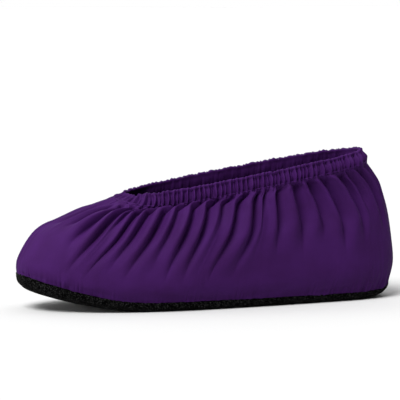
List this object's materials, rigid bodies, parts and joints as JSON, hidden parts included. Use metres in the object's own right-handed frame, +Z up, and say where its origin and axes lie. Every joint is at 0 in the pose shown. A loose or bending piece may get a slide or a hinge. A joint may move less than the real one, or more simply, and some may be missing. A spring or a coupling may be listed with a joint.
{
  "type": "overshoe",
  "caption": "Washable stretch-cloth overshoe with a gathered elastic collar round a slanted opening and a non-slip sole that curls up at its edge.",
  "frame": {"origin": "on the floor under the middle of the overshoe's bounding box", "axes": "-X towards the toe, +X towards the heel, +Z up, -Y towards the side that the picture shows"},
  "size_m": [0.3203, 0.112, 0.1234],
  "materials": {
    "stretch_cloth": "matte, thin purple stretch knit",
    "collar_cloth": "matte, purple stretch knit doubled over an elastic",
    "grip_sole": "matte, black cloth with a fine rubber grain"
  },
  "bodies": {
    "root": {"upper": "stretch_cloth", "elastic_collar": "collar_cloth", "sole": "grip_sole"}
  },
  "joints": []
}
